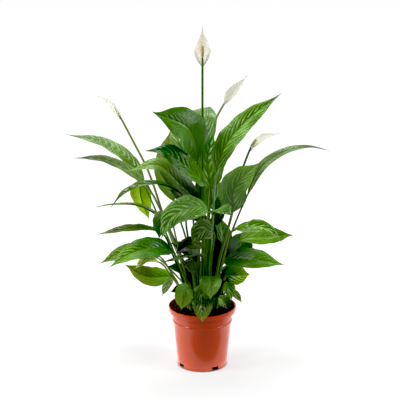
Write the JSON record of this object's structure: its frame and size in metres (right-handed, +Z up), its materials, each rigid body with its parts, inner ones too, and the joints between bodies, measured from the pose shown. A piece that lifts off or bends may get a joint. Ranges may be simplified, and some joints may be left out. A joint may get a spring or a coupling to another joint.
{
  "type": "potted peace lily",
  "caption": "Potted peace lily: a bushy plant of long-stalked pointed leaves with white hooded flowers, in a round tapered nursery pot full of soil.",
  "frame": {"origin": "middle of the pad under the pot's floor, on the plane that the pot stands on", "axes": "+Z up along the pot's axis; -Y towards the side the plant is seen from; +X to the right from there"},
  "size_m": [0.5152, 0.2863, 0.66],
  "materials": {
    "pot_plastic": "satin terracotta-coloured moulded plastic",
    "soil": "rough dark potting compost with bark",
    "leaf_deep": "glossy deep green leaf",
    "leaf_mid": "glossy mid green leaf",
    "leaf_bright": "glossy yellow-green leaf that lets light through",
    "flower_stalk": "smooth green stalk",
    "spathe": "matte white petal-like leaf",
    "spadix": "knobbly cream to tan flower spike"
  },
  "bodies": {
    "root": {"pot": "pot_plastic", "soil": "soil", "leaf_01": "leaf_deep", "leaf_02": "leaf_mid", "leaf_03": "leaf_deep", "leaf_04": "leaf_deep", "leaf_05": "leaf_mid", "leaf_06": "leaf_bright", "leaf_07": "leaf_bright", "leaf_08": "leaf_mid", "leaf_09": "leaf_deep", "leaf_10": "leaf_deep", "leaf_11": "leaf_deep", "leaf_12": "leaf_deep", "leaf_13": "leaf_deep", "leaf_14": "leaf_bright", "leaf_15": "leaf_mid", "leaf_16": "leaf_mid", "leaf_17": "leaf_mid", "leaf_18": "leaf_deep", "leaf_19": "leaf_mid", "leaf_20": "leaf_mid", "leaf_21": "leaf_mid", "leaf_22": "leaf_deep", "leaf_23": "leaf_mid", "leaf_24": "leaf_bright", "leaf_25": "leaf_mid", "leaf_26": "leaf_mid", "leaf_27": "leaf_bright", "leaf_28": "leaf_mid", "leaf_29": "leaf_mid", "leaf_30": "leaf_deep", "leaf_31": "leaf_mid", "leaf_32": "leaf_bright", "leaf_33": "leaf_deep", "leaf_34": "leaf_bright", "leaf_35": "leaf_deep", "leaf_36": "leaf_mid", "leaf_37": "leaf_mid", "leaf_38": "leaf_deep", "leaf_39": "leaf_bright", "leaf_40": "leaf_deep", "leaf_41": "leaf_mid", "leaf_42": "leaf_bright", "leaf_43": "leaf_deep", "leaf_44": "leaf_deep", "flower_1_stalk": "flower_stalk", "flower_1_spathe": "spathe", "flower_1_spadix": "spadix", "flower_2_stalk": "flower_stalk", "flower_2_spathe": "spathe", "flower_2_spadix": "spadix", "flower_3_stalk": "flower_stalk", "flower_3_spathe": "spathe", "flower_3_spadix": "spadix", "flower_4_stalk": "flower_stalk", "flower_4_spathe": "spathe", "flower_4_spadix": "spadix"}
  },
  "joints": []
}
